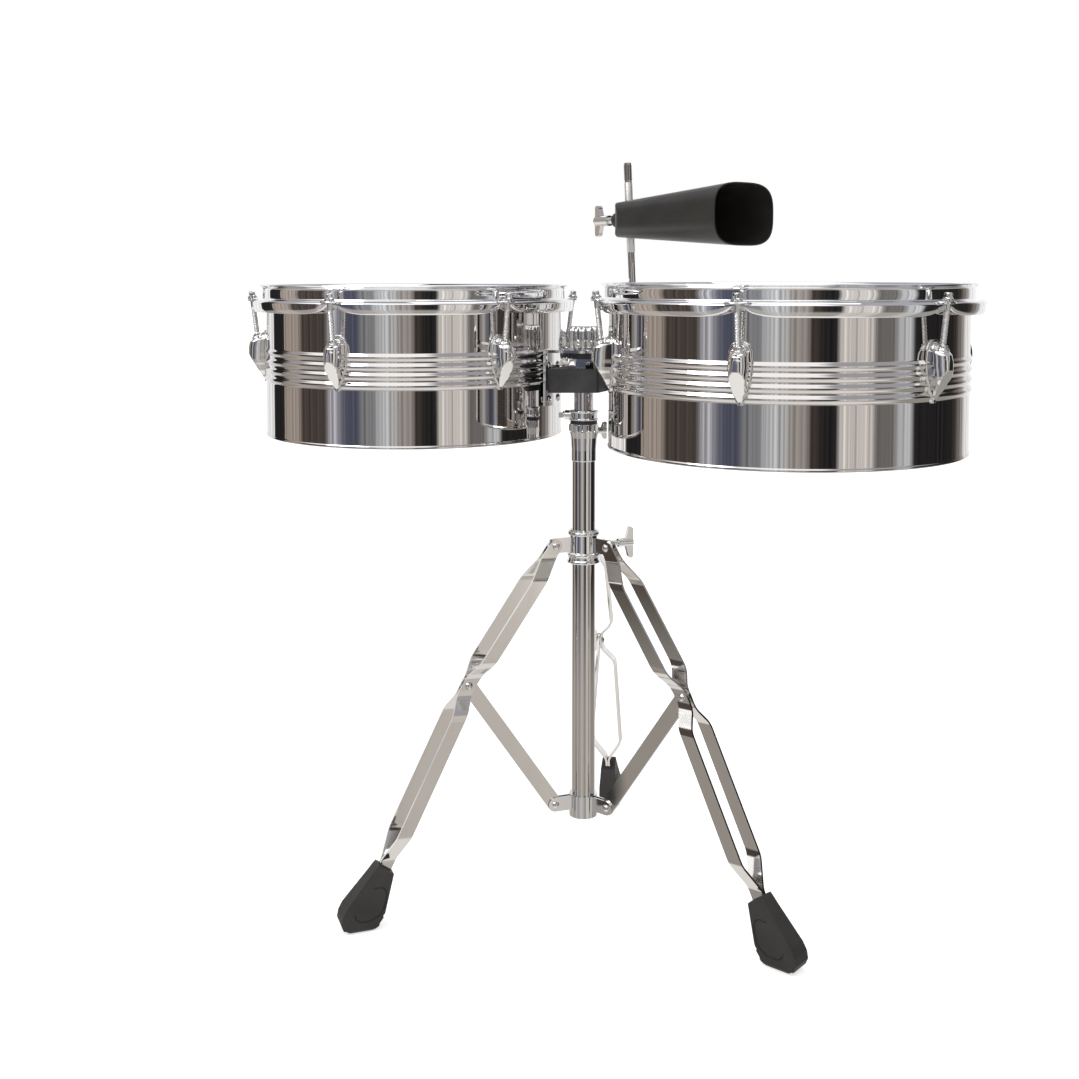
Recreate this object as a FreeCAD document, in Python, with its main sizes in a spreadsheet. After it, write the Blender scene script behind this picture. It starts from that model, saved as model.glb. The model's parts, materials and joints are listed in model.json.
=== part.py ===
import FreeCAD, Part
import math
import os
import re
import Sketcher

Vector = FreeCAD.Vector
Rotation = FreeCAD.Rotation
Placement = FreeCAD.Placement
UP = Vector(0, 0, 1)
ORIGIN = Vector(0, 0, 0)

# A pair of timbales (13 and 14 inch) on a folding tripod stand with a cowbell on an L-rod.
# Frame: the stand's axis is Z, the floor is z = 0, +X runs from the small to the large drum,
# -Y is the side that faces the audience. Millimetres.

DIMENSIONS = {
    # drums
    "small_radius": 165.1, "large_radius": 177.8,
    "small_centre": -204.5, "large_centre": 217.0,
    "small_lip": 661.5, "large_lip": 664.5,
    "small_bottom": 496.0, "large_bottom": 499.0,
    "shell_wall": 1.2, "bead_drop": 72.4, "bead_pitch": 9.7,
    "bead_section": 4.2, "bead_proud": 1.6, "roll_section": 1.5,
    "head_drop": 12.5, "film": 0.5, "flesh_outer": 8.0, "flesh_drop": 23.0,
    "hoop_inner": 2.0, "hoop_outer": 4.0, "lip_flare": 7.5, "lip_height": 3.4,
    "flange_drop": 15.5, "flange_gauge": 2.0, "skirt_outer": 14.0, "skirt_gauge": 2.0,
    "skirt_drop": 29.0, "ear_reach": 20.0, "ear_width": 24.0, "ear_gap": 12.0,
    # tension rods and lugs, measured down from the lip and out from the shell
    "lug_first_angle": 30.0, "lug_count": 6, "lug_top_drop": 51.8, "lug_bottom_drop": 105.8,
    "lug_reach": 20.0, "lug_width": 19.5, "lug_flange_width": 23.0, "lug_facet_drop": 75.8,
    "rod_size": 6.0, "rod_ear_reach": 14.5, "rod_lug_reach": 10.5, "rod_ear_drop": 18.5,
    "rod_end_drop": 80.3, "rod_head": 6.4, "rod_head_top": 11.4, "swivel_nut": 9.4,
    # drum brackets
    "bracket_width": 40.0, "bracket_gauge": 3.0, "bracket_standoff": 1.8,
    "bracket_bottom": 532.0, "small_plate": 589.5, "large_plate": 580.7, "stud_hole": 10.2,
    "screw_size": 5.0, "screw_spread": 12.0, "screw_low": 539.0, "screw_high": 575.0,
    # centre stack
    "block_bottom": 548.0, "block_top": 573.0, "stud_size": 10.0, "stud_top": 612.0,
    "nut_corners": 23.0, "nut_top": 580.6, "spacer_size": 35.0, "knob_size": 39.5,
    "knob_bottom": 594.7, "knob_top": 618.3, "knob_lobes": 8,
    # posts
    "inner_tube_size": 21.0, "inner_tube_wall": 1.6, "inner_tube_bottom": 240.0,
    "inner_tube_top": 560.0, "base_tube_size": 25.4, "base_tube_wall": 1.5,
    "base_tube_bottom": 85.5, "base_tube_top": 500.0, "clamp_bottom": 473.2,
    "clamp_top": 513.2, "clamp_base_size": 27.4, "clamp_crown_size": 32.0,
    "bush_flange_top": 516.5, "lock_bottom": 516.8, "lock_top": 528.3, "lock_size": 30.0,
    # folding legs
    "rear_leg_angle": 102.8, "hinge_reach": 33.0, "leg_hinge_height": 383.0,
    "brace_hinge_height": 101.0, "knee_reach": 130.6, "knee_height": 242.0,
    "boot_reach": 221.0, "boot_height": 61.0, "strip_width": 14.0, "strip_gauge": 2.5,
    "strip_spread": 17.0, "hinge_offset": 3.4, "knee_offset": 2.8, "boot_offset": 1.4,
    "brace_width": 16.0, "pin_size": 5.0, "rivet_head": 8.0, "foot_reach": 248.0,
    # cowbell and its rod
    "arm_start_x": 14.42, "arm_start_y": 24.57, "arm_height": 560.5, "arm_angle": 71.6,
    "arm_length": 56.3, "upright_lean": 3.1, "cowbell_rod_size": 8.0, "rod_bend": 12.0,
    "rod_top": 797.0, "bell_height": 734.0, "bell_angle": -30.0, "bell_length": 185.5,
    "bell_inset": 9.5, "mouth_width": 85.0, "mouth_height": 64.0, "crown_width": 43.0,
    "crown_height": 39.5, "crown_rounding": 19.0, "bell_wall": 1.4,
    # folds and screws
    "running_gap": 0.3, "fit_gap": 0.05,
}

doc = FreeCAD.newDocument("timbales")
sheet = doc.addObject("Spreadsheet::Sheet", "Dims")
for row, (alias, number) in enumerate(DIMENSIONS.items(), start=1):
    sheet.set(f"A{row}", alias)
    sheet.set(f"B{row}", str(number))
    sheet.setAlias(f"B{row}", alias)
doc.recompute()

nodes = []


def size(alias):
    """Return one driving dimension from the spreadsheet."""
    return float(sheet.get(alias))


def formula(text):
    """Turn a formula in the dimensions' own words into an expression on the spreadsheet."""
    return re.sub(r"[a-z_]+", lambda word: f"Dims.{word[0]}" if word[0] in DIMENSIONS else word[0], text)


def value(text):
    """Evaluate a formula in the dimensions' own words."""
    return float(sheet.evalExpression(formula(text)))


def keep(piece, label):
    """Give a finished sub-part its name and put it on the list that is written out."""
    piece.Label = label
    nodes.append(piece)
    return piece


def bound(piece, **formulas):
    """Bind properties of an object to formulas on the spreadsheet."""
    for name, text in formulas.items():
        piece.setExpression(name.replace("__", "."), formula(text))
    return piece


def outline_sketch(body, role, corners):
    """Draw a closed outline on an origin plane, each corner bound to two formulas."""
    plane = next(item for item in body.Origin.OriginFeatures if item.Role == role)
    sketch = body.newObject("Sketcher::SketchObject", body.Name + "_outline")
    sketch.AttachmentSupport = [(plane, "")]
    sketch.MapMode = "FlatFace"
    points = [Vector(value(across), value(along), 0) for across, along in corners]
    for index, point in enumerate(points):
        sketch.addGeometry(Part.LineSegment(point, points[(index + 1) % len(points)]), False)
    for index in range(len(points)):
        following = (index + 1) % len(points)
        sketch.addConstraint(Sketcher.Constraint("Coincident", index, 2, following, 1))
    for index, (across, along) in enumerate(corners):
        for kind, text in (("DistanceX", across), ("DistanceY", along)):
            place = sketch.addConstraint(Sketcher.Constraint(kind, -1, 1, index, 1, value(text)))
            sketch.setExpression(f"Constraints[{place}]", formula(text))
    return sketch


def turned(label, corners, height="0"):
    """A body turned about the vertical axis from a profile of (radius, height) formulas."""
    body = doc.addObject("PartDesign::Body", label)
    sketch = outline_sketch(body, "XZ_Plane", corners)
    turn = body.newObject("PartDesign::Revolution", label + "_turn")
    turn.Profile = sketch
    turn.ReferenceAxis = (sketch, ["V_Axis"])
    turn.Angle = 360
    return bound(body, Placement__Base__z=height)


def padded(label, corners, thickness, height="0"):
    """A body padded upwards from an outline of (x, y) formulas."""
    body = doc.addObject("PartDesign::Body", label)
    pad = body.newObject("PartDesign::Pad", label + "_pad")
    pad.Profile = outline_sketch(body, "XY_Plane", corners)
    bound(pad, Length=thickness)
    return bound(body, Placement__Base__z=height)


def primitive(kind, label, **formulas):
    """One of the Part workbench's primitives with its sizes bound."""
    return bound(doc.addObject("Part::" + kind, label), **formulas)


def ring(label, inner, outer, bottom, top):
    """A plain ring or washer about the stand's axis."""
    height = f"({top}) - ({bottom})"
    return turned(label, [(inner, "0"), (outer, "0"), (outer, height), (inner, height)], bottom)


def fused(label, pieces):
    """Join document objects into one solid."""
    union = doc.addObject("Part::MultiFuse", label)
    union.Shapes = pieces
    return union


def cut(label, base, tool):
    """Take one document object out of another."""
    difference = doc.addObject("Part::Cut", label)
    difference.Base = base
    difference.Tool = tool
    return difference


def shaped(label, shape, place=None):
    """A sub-part whose shape comes from Part's own functions."""
    piece = doc.addObject("Part::Feature", label)
    piece.Shape = shape
    if place is not None:
        piece.Placement = place
    return piece


def face_of(points, axes):
    """A flat face from straight runs and arcs: a pair of points is an arc's middle and end."""
    def spot(pair):
        return axes[0] * pair[0] + axes[1] * pair[1]
    edges = []
    start = points[0]
    for item in list(points[1:]) + [points[0]]:
        if isinstance(item[0], tuple):
            edges.append(Part.Arc(spot(start), spot(item[0]), spot(item[1])).toShape())
            start = item[1]
        else:
            if spot(start).distanceToPoint(spot(item)) > 1e-6:
                edges.append(Part.LineSegment(spot(start), spot(item)).toShape())
            start = item
    return Part.Face(Part.Wire(edges))


def bar(points, axes, direction, start, end):
    """A flat outline pushed from start to end along a direction square to it."""
    face = face_of(points, axes)
    face.translate(direction * start)
    return face.extrude(direction * (end - start))


def rounded_path(points, radius):
    """A wire of straight runs joined by tangent arcs."""
    edges = []
    start = points[0]
    for before, corner, after in zip(points, points[1:], points[2:]):
        inward = (before - corner).normalize()
        outward = (after - corner).normalize()
        half = inward.getAngle(outward) / 2
        reach = radius / math.tan(half)
        first = corner + inward * reach
        last = corner + outward * reach
        centre = corner + (inward + outward).normalize() * (radius / math.sin(half))
        middle = centre + (corner - centre).normalize() * radius
        edges.append(Part.LineSegment(start, first).toShape())
        edges.append(Part.Arc(first, middle, last).toShape())
        start = last
    edges.append(Part.LineSegment(start, points[-1]).toShape())
    return Part.Wire(edges)


def cylinder(radius, start, end, axis=UP, base=ORIGIN):
    """A cylinder along an axis, from start to end measured from a base point."""
    return Part.makeCylinder(radius, end - start, base + axis * start, axis)


def polar(angle, reach=0.0, height=0.0):
    """A frame on the stand's axis: its x points outwards at an angle, its origin lies at a reach."""
    turn = Rotation(UP, angle)
    return Placement(turn.multVec(Vector(reach, 0, 0)) + UP * height, turn)


def placed(shape, place):
    """A copy of a shape moved by a placement."""
    copy = shape.copy()
    copy.Placement = place.multiply(copy.Placement)
    return copy


# --- drums -------------------------------------------------------------------------------
# Each drum is drawn about its own axis with z = 0 at the top of its hoop, then set in place.

def set_drum(piece, side):
    """Put a piece drawn in a drum's own frame where that drum stands."""
    return bound(piece, Placement__Base__x=f"{side}_centre", Placement__Base__z=f"{side}_lip")


def drum_place(side):
    """The same place for pieces that are drawn with Part's own functions."""
    return Placement(Vector(size(f"{side}_centre"), 0, size(f"{side}_lip")), Rotation())


def lug_angles():
    """The directions of a drum's lugs, seen from its axis."""
    count = int(size("lug_count"))
    return [size("lug_first_angle") + 360 / count * step for step in range(count)]


def rod_frame(side):
    """A tension rod's frame: its z runs up the leaning rod from the hoop's ear plane."""
    sideways = size("rod_ear_reach") - size("rod_lug_reach")
    rise = size("lug_top_drop") - size("rod_ear_drop")
    lean = math.degrees(math.atan2(sideways, rise))
    ear = Vector(size(f"{side}_radius") + size("rod_ear_reach"), 0, -size("rod_ear_drop"))
    return Placement(ear, Rotation(Vector(0, 1, 0), lean))


def screw_places(side):
    """The bracket screws' axes: sideways offset and height in the drum's frame."""
    heights = [size(name) - size(f"{side}_lip") for name in ("screw_low", "screw_high")]
    spread = size("screw_spread")
    return [(sideways, height) for sideways in (-spread, spread) for height in heights]


def bracket_turn(side):
    """The drum's frame turned so that its x points at the stand."""
    return Placement(ORIGIN, Rotation(UP, 0 if side == "small" else 180))


def screw_holes(side):
    """Clearance for the bracket screws through the saddle and the shell."""
    radius = size(f"{side}_radius")
    drills = [cylinder(size("screw_size") / 2 + 0.1, radius - 12, radius + 12, Vector(1, 0, 0),
                       Vector(0, sideways, height)) for sideways, height in screw_places(side)]
    return placed(Part.makeCompound(drills), bracket_turn(side))


def shell_envelope(side):
    """The outside of a drum's wall and beads, a hair oversize, to fit pieces against."""
    edge = size(f"{side}_radius")
    section = size("bead_section")
    centre = edge + size("bead_proud") - section
    envelope = cylinder(edge + 0.05, -300, 10)
    for step in range(4):
        height = -size("bead_drop") - step * size("bead_pitch")
        envelope = envelope.fuse(Part.makeTorus(centre, section + 0.05, Vector(0, 0, height)))
    return envelope


def shell(side):
    """Open cylinder with four raised beads and a rolled lower edge."""
    radius = f"{side}_radius"
    depth = f"{side}_bottom - {side}_lip"
    wall = primitive("Cylinder", side + "_wall", Radius=radius,
                     Height=f"0 - head_drop - ({depth})", Placement__Base__z=depth)
    beads = [primitive("Torus", f"{side}_bead", Radius1=f"{radius} + bead_proud - bead_section",
                       Radius2="bead_section",
                       Placement__Base__z=f"0 - bead_drop - {step} * bead_pitch") for step in range(4)]
    hollow = primitive("Cylinder", side + "_hollow", Radius=f"{radius} - shell_wall",
                       Height=f"4 - ({depth})", Placement__Base__z=f"{depth} - 2")
    beaded = cut(side + "_beaded", fused(side + "_outside", [wall] + beads), hollow)
    roll = primitive("Torus", side + "_roll", Radius1=f"{radius} - shell_wall / 2",
                     Radius2="roll_section", Placement__Base__z=f"{depth} + roll_section")
    whole = fused(side + "_rolled", [beaded, roll])
    drilled = cut(side + "_shell", whole, shaped(side + "_shell_holes", screw_holes(side)))
    return keep(set_drum(drilled, side), side + "_shell")


def head(side):
    """Film over the bearing edge with its collar pressed into the flesh hoop."""
    radius = f"{side}_radius"
    film = turned(side + "_film", [
        ("0", "0 - head_drop"), (f"{radius} + film", "0 - head_drop"),
        (f"{radius} + film", "2 - flesh_drop"), (f"{radius} + 2 * film", "2 - flesh_drop"),
        (f"{radius} + 2 * film", "film - head_drop"), ("0", "film - head_drop")])
    flesh = turned(side + "_flesh_hoop", [
        (f"{radius} + 2 * film", "0 - flesh_drop"), (f"{radius} + flesh_outer", "0 - flesh_drop"),
        (f"{radius} + flesh_outer", "0 - flange_drop - flange_gauge"),
        (f"{radius} + 2 * film", "0 - flange_drop - flange_gauge")])
    pair = doc.addObject("Part::Compound", side + "_head")
    pair.Links = [film, flesh]
    return keep(set_drum(pair, side), side + "_head")


def hoop(side):
    """Flared collar, flange and scalloped skirt with an ear for each tension rod."""
    radius = f"{side}_radius"
    profile = [
        ("hoop_inner", "0 - flange_drop - flange_gauge"), ("hoop_inner", "0 - lip_height - 0.6"),
        ("lip_flare - 2", "0"), ("lip_flare", "0 - 0.8"), ("hoop_outer", "0 - lip_height - 0.8"),
        ("hoop_outer", "1.5 - flange_drop"), ("hoop_outer + 1.5", "0 - flange_drop"),
        ("skirt_outer - 3.6", "0 - flange_drop"), ("skirt_outer - 1.8", "0 - flange_drop - 0.5"),
        ("skirt_outer - 0.5", "0 - flange_drop - 1.8"), ("skirt_outer", "0 - flange_drop - 3.6"),
        ("skirt_outer", "0 - skirt_drop"),
        ("skirt_outer - skirt_gauge", "0 - skirt_drop"),
        ("skirt_outer - skirt_gauge", "0 - flange_drop - 4"),
        ("skirt_outer - 4", "0 - flange_drop - flange_gauge")]
    band = turned(side + "_band", [(f"{radius} + {reach}", height) for reach, height in profile])
    outwards = (Vector(0, 1, 0), UP)
    flat = (Vector(1, 0, 0), Vector(0, 1, 0))
    edge = size(radius)
    under = -size("flange_drop") - size("flange_gauge")
    foot = -size("skirt_drop") - 1
    half_gap = size("ear_gap") / 2
    half_ear = size("ear_width") / 2
    reach = edge + size("ear_reach")
    root = edge + size("skirt_outer") - 3.5
    scallop = half_gap + 30
    gap = bar([(-half_gap, under), (half_gap, under), ((half_gap + 9, under - 6.5), (scallop, foot)),
               (-scallop, foot), ((-half_gap - 9, under - 6.5), (-half_gap, under))],
              outwards, Vector(1, 0, 0), root - 0.2, reach + 2)
    ear = bar([(root, -half_ear), (root + 3.5, -half_ear), ((reach, 0), (root + 3.5, half_ear)),
               (root, half_ear)], flat, UP, under, -size("flange_drop"))
    drill = placed(cylinder(size("rod_size") / 2 + 0.6, -8, 8), rod_frame(side))
    turns = [polar(angle) for angle in lug_angles()]
    gaps = shaped(side + "_gaps", Part.makeCompound([placed(gap, turn) for turn in turns]))
    drills = shaped(side + "_ear_holes", Part.makeCompound([placed(drill, turn) for turn in turns]))
    ears = [shaped(side + "_ear", placed(ear, turn)) for turn in turns]
    eared = fused(side + "_eared", [cut(side + "_scalloped", band, gaps)] + ears)
    return keep(set_drum(cut(side + "_hoop", eared, drills), side), side + "_hoop")


def lug_pod(side, envelope):
    """One lug: a domed pod with a slanted lower facet, a back flange and a notch for its nut."""
    edge = size(f"{side}_radius")
    top = -size("lug_top_drop")
    bottom = -size("lug_bottom_drop")
    facet = -size("lug_facet_drop")
    reach = edge + size("lug_reach")
    back = edge - 3
    side_view = bar([(back, top), (edge + 13, top), ((reach - 3, top - 3.5), (reach, top - 11)),
                     (reach, facet), (edge + 3, bottom), (back, bottom)],
                    (Vector(1, 0, 0), UP), Vector(0, 1, 0), -20, 20)

    def front_view(half, grow, depth):
        shoulder = top + grow - half
        return bar([(half, shoulder), ((0, top + grow), (-half, shoulder)), (-half, facet - 2),
                    (-4 - grow, bottom + 3 - grow), ((0, bottom - grow), (4 + grow, bottom + 3 - grow)),
                    (half, facet - 2)], (Vector(0, 1, 0), UP), Vector(1, 0, 0), back, edge + depth)

    half = size("lug_width") / 2
    plan = bar([(back, -half), (reach - half, -half), ((reach, 0), (reach - half, half)), (back, half)],
               (Vector(1, 0, 0), Vector(0, 1, 0)), UP, bottom - 1, top + 1)
    pod = side_view.common(front_view(half, 0.0, 40)).common(plan)
    flange = front_view(size("lug_flange_width") / 2, 1.2, 2.6)
    frame = rod_frame(side)
    floor = -(size("lug_top_drop") + 9 - size("rod_ear_drop"))
    notch = placed(cylinder(5.3, floor, 0), frame)
    mouth = cylinder(5.3, edge + size("rod_lug_reach"), reach + 5, Vector(1, 0, 0),
                     Vector(0, 0, top - 2))
    bore = placed(cylinder(size("rod_size") / 2 + 0.4, -size("rod_end_drop") + 10, 0), frame)
    pod = pod.fuse(flange).cut(envelope).cut(notch).cut(mouth).cut(bore).removeSplitter()
    nut = cylinder(size("swivel_nut") / 2, floor + 0.1, floor + 8)
    nut = nut.cut(cylinder(size("rod_size") / 2 + size("fit_gap"), floor, floor + 9))
    return [pod, placed(nut, frame)]


def lugs(side):
    """The drum's lugs with their swivel nuts."""
    pod_and_nut = lug_pod(side, shell_envelope(side))
    solids = [placed(solid, polar(angle)) for angle in lug_angles() for solid in pod_and_nut]
    return keep(shaped(side + "_lugs", Part.makeCompound(solids), drum_place(side)), side + "_lugs")


def tension_rods(side):
    """Square-headed rods with their washers, one sub-part each."""
    rod = cylinder(size("rod_size") / 2, 14 - size("rod_end_drop"), 5.1)
    collar = cylinder(4.6, 5.0, 6.5)
    width = size("rod_head")
    top = size("rod_head_top")
    square = Part.makeBox(width, width, top - 6.4, Vector(-width / 2, -width / 2, 6.4))
    crown = Part.makeCone(width * 0.75, width * 0.42, 2.2, Vector(0, 0, top - 2.2))
    shank = square.common(crown.fuse(cylinder(width * 0.75, 6.3, top - 2.2)))
    bolt = rod.fuse(collar).fuse(shank).removeSplitter()
    washer = cylinder(5.6, 3.75, 4.95).cut(cylinder(size("rod_size") / 2 + 0.2, 3, 5))
    pair = Part.makeCompound([bolt, washer])
    for number, angle in enumerate(lug_angles(), start=1):
        place = drum_place(side).multiply(polar(angle)).multiply(rod_frame(side))
        keep(shaped(f"{side}_rod", pair.copy(), place), f"{side}_tension_rod_{number}")


def bracket(side):
    """Saddle plate along the shell and a top plate that the centre stud passes through."""
    edge = size(f"{side}_radius")
    inner = edge + size("bracket_standoff")
    outer = inner + size("bracket_gauge")
    half = size("bracket_width") / 2
    lip = size(f"{side}_lip")
    low = size("bracket_bottom") - lip
    plate = size(f"{side}_plate") - lip
    high = plate + size("bracket_gauge")
    stud = abs(size(f"{side}_centre"))
    flat = (Vector(1, 0, 0), Vector(0, 1, 0))
    band = cylinder(outer, low, high).cut(cylinder(inner, low - 1, high + 1))
    strap = bar([(inner - 20, -half), (outer + 5, -half), (outer + 5, half), (inner - 20, half)],
                flat, UP, low, high)
    tongue = bar([(inner - 20, -half), (stud, -half), ((stud + half, 0), (stud, half)),
                  (inner - 20, half)], flat, UP, plate, high)
    tongue = tongue.cut(cylinder(outer - 0.5, low - 1, high + 1))
    saddle = band.common(strap)
    whole = saddle.fuse(tongue).cut(cylinder(size("stud_hole") / 2, low, high + 1, UP,
                                             Vector(stud, 0, 0))).removeSplitter()
    place = drum_place(side)
    shape = placed(whole, bracket_turn(side)).cut(screw_holes(side))
    return keep(shaped(side + "_bracket", shape, place), side + "_bracket")


def bracket_screws(side):
    """Screws, spacers and nuts that hold the saddle plate to the shell."""
    edge = size(f"{side}_radius")
    inner = edge + size("bracket_standoff")
    outer = inner + size("bracket_gauge")
    spread = size("screw_spread")
    outwards = Vector(1, 0, 0)
    shank_radius = size("screw_size") / 2
    head_radius = 4.2
    head_seat = math.sqrt(outer ** 2 - (spread - head_radius) ** 2)
    nut_seat = math.sqrt((edge - size("shell_wall")) ** 2 - (spread + head_radius) ** 2)
    between = cylinder(inner - 0.05, -290, 0).cut(shell_envelope(side))
    solids = []
    for sideways, height in screw_places(side):
        base = Vector(0, sideways, height)
        dome = Part.makeSphere(6.2, base + outwards * (head_seat - 3.9))
        cap = dome.common(cylinder(head_radius, head_seat, head_seat + 4, outwards, base))
        nut = cylinder(head_radius, nut_seat - 3, nut_seat, outwards, base)
        shank = cylinder(shank_radius, nut_seat - 4.5, head_seat + 0.1, outwards, base)
        slot = Part.makeBox(1.2, 6, 1.1, base + Vector(head_seat + 1.5, -3, -0.55))
        solids.append(shank.fuse(cap).fuse(nut).cut(slot).removeSplitter())
        sleeve = cylinder(head_radius, edge - 2, outer, outwards, base).common(between)
        solids.append(sleeve.cut(cylinder(shank_radius + 0.1, edge - 5, outer, outwards, base)))
    place = drum_place(side).multiply(bracket_turn(side))
    screws = shaped(side + "_bracket_screws", Part.makeCompound(solids), place)
    return keep(screws, side + "_bracket_screws")


for side_name in ("small", "large"):
    shell(side_name)
    head(side_name)
    hoop(side_name)
    lugs(side_name)
    tension_rods(side_name)
    bracket(side_name)
    bracket_screws(side_name)


# --- centre stack ------------------------------------------------------------------------

OUTWARDS = Vector(1, 0, 0)
SIDEWAYS = Vector(0, 1, 0)
UPRIGHT_PLANE = (OUTWARDS, UP)
FLAT_PLANE = (OUTWARDS, SIDEWAYS)


def upright_wings(root, end, radius, gauge):
    """Two opposite tapered wings that stand square to the screw's axis, which is x."""
    tip = root * 0.62
    wing = bar([(end - root, 0.5), (end - tip, radius - tip / 2),
                ((end - tip / 2, radius), (end, radius - tip / 2)), (end, 0.5)],
               UPRIGHT_PLANE, SIDEWAYS, -gauge / 2, gauge / 2)
    return wing.fuse(placed(wing, Placement(ORIGIN, Rotation(OUTWARDS, 180))))


def wing_screw(shank_radius, tip, seat, hub_radius, end, wing_root, wing_radius):
    """A wing screw along x, from its tip to the outer side of its wings."""
    shank = cylinder(shank_radius, tip, end - 1, OUTWARDS)
    hub = cylinder(hub_radius, seat, end - 0.4, OUTWARDS)
    wings = upright_wings(wing_root, end, wing_radius, hub_radius * 1.1)
    return shank.fuse(hub).fuse(wings).removeSplitter()


def hexagon(corners):
    """The outline of a hexagon from the distance across its corners."""
    turns = [math.radians(60 * step) for step in range(6)]
    return [(corners / 2 * math.cos(turn), corners / 2 * math.sin(turn)) for turn in turns]


def mount_block():
    """Four-sided casting on top of the inner tube, drilled for the tube and the stud."""
    corners = [("0 - 25", "0 - 34.4"), ("20", "0 - 15.4"), ("22", "0 - 12.5"), ("22", "20"),
               ("19.6", "22.8"), ("0 - 25.6", "37.9"), ("0 - 29", "35"), ("0 - 29", "0 - 31.5")]
    blank = padded("block_blank", corners, "block_top - block_bottom", "block_bottom")
    socket = primitive("Cylinder", "block_socket", Radius="inner_tube_size / 2",
                       Height="inner_tube_top - block_bottom + 1", Placement__Base__z="block_bottom - 1")
    tapping = primitive("Cylinder", "block_tapping", Radius="stud_size / 2",
                        Height="40", Placement__Base__z="inner_tube_top + 2")
    return keep(cut("mount_block", blank, fused("block_bores", [socket, tapping])), "mount_block")


def centre_stud():
    """Threaded stud with its hexagon nut below the brackets and a steel washer above."""
    gap = size("fit_gap")
    radius = size("stud_size") / 2
    stud = cylinder(radius, size("inner_tube_top") + 2, size("stud_top"))
    nut = bar(hexagon(size("nut_corners")), FLAT_PLANE, UP, size("block_top"), size("nut_top"))
    crown = Part.makeCone(size("nut_corners") / 2 + 4, size("nut_corners") / 2 - 1.2, 5.2,
                          Vector(0, 0, size("nut_top") - 5.2))
    nut = nut.common(crown.fuse(cylinder(20, size("block_top"), size("nut_top") - 5.2)))
    nut = nut.cut(cylinder(radius, size("block_top") - 1, size("nut_top") + 1))
    seat = size("small_plate") + size("bracket_gauge") + 0.2
    washer = cylinder(11.5, seat, size("knob_bottom") - 0.2)
    washer = washer.cut(cylinder(radius + gap, seat - 1, size("knob_bottom")))
    return keep(shaped("centre_stud", Part.makeCompound([stud, nut, washer])), "centre_stud")


def bracket_washers():
    """Two friction discs between the two drum brackets."""
    inner = "stud_size / 2 + 0.2"
    low = "large_plate + bracket_gauge + 0.2"
    high = "small_plate - 0.2"
    middle = f"({low} + {high}) / 2"
    discs = doc.addObject("Part::Compound", "bracket_washers")
    discs.Links = [ring("lower_disc", inner, "spacer_size / 2", low, middle),
                   ring("upper_disc", inner, "spacer_size / 2 - 0.8", middle, high)]
    return keep(discs, "bracket_washers")


def clamp_knob():
    """Fluted knob that pinches both brackets on the stud."""
    bore = "stud_size / 2 + fit_gap"
    rim = "knob_size / 2"
    rise = "knob_top - knob_bottom"
    blank = turned("knob_blank", [
        (bore, "0"), (f"{rim} - 2", "0"), (rim, "1.5"), (rim, f"{rise} - 7"),
        (f"{rim} - 1.2", f"{rise} - 4"), (f"{rim} - 4", f"{rise} - 1.6"), (f"{rim} - 8", f"{rise} - 0.4"),
        ("5", rise), ("0", rise), ("0", "stud_top - knob_bottom + 1"),
        (bore, "stud_top - knob_bottom + 1")], "knob_bottom")
    lobes = int(size("knob_lobes"))
    flute = cylinder(4.6, size("knob_bottom") - 1, size("knob_top") + 1, UP,
                     Vector(size("knob_size") / 2 + 2.4, 0, 0))
    flutes = [placed(flute, polar(360 / lobes * (step + 0.5))) for step in range(lobes)]
    return keep(cut("clamp_knob", blank, shaped("knob_flutes", Part.makeCompound(flutes))), "clamp_knob")


# --- posts -------------------------------------------------------------------------------

SCREW_ANGLE = 42.8
LOCK_ANGLE = 203.0
BOLT_RISE = -2.0


def posts():
    """Telescoping tubes."""
    for name in ("inner_tube", "base_tube"):
        outer = f"{name}_size / 2"
        keep(ring(name, f"{outer} - {name}_wall", outer, f"{name}_bottom", f"{name}_top"), name)


def height_clamp():
    """Cast clamp with a scalloped crown on top of the base tube, and its bush and wing screw."""
    bore = "base_tube_size / 2"
    rise = "clamp_top - clamp_bottom"
    foot = "clamp_base_size / 2"
    crown = "clamp_crown_size / 2"
    blank = turned("clamp_blank", [
        (bore, "0"), (f"{foot} - 0.5", "0"), (foot, "0.8"), (foot, "12"), (f"{foot} + 0.9", "25"),
        (f"{crown} - 0.6", f"{rise} - 9"), (crown, f"{rise} - 7"), (crown, f"{rise} - 1"),
        (f"{crown} - 1", rise), (bore, rise)], "clamp_bottom")
    scallop = cylinder(3.4, size("clamp_top") - 8.5, size("clamp_top") + 1, UP,
                       Vector(size("clamp_crown_size") / 2 + 1.8, 0, 0))
    screw_height = size("clamp_top") - 8.2
    cutters = [placed(scallop, polar(SCREW_ANGLE + 22.5 + 45 * step)) for step in range(8)]
    cutters.append(placed(cylinder(2.6, 10, 20, OUTWARDS), polar(SCREW_ANGLE, 0, screw_height)))
    keep(cut("height_clamp", blank, shaped("clamp_cutters", Part.makeCompound(cutters))), "height_clamp")
    inner = "inner_tube_size / 2 + fit_gap"
    flange = "clamp_top - base_tube_top - 0.1"
    keep(turned("clamp_bush", [
        (inner, "0"), (bore, "0"), (bore, flange), ("14.5", flange),
        ("14.5", f"{flange} + bush_flange_top - clamp_top - 0.5"),
        ("14", f"{flange} + bush_flange_top - clamp_top"),
        (inner, f"{flange} + bush_flange_top - clamp_top")], "base_tube_top + 0.1"), "clamp_bush")
    screw = wing_screw(2.5, 13.0, 16.6, 3.6, 26.0, 6.5, 9.5)
    keep(shaped("clamp_wing_screw", screw, polar(SCREW_ANGLE, 0, screw_height)), "clamp_wing_screw")


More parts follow.
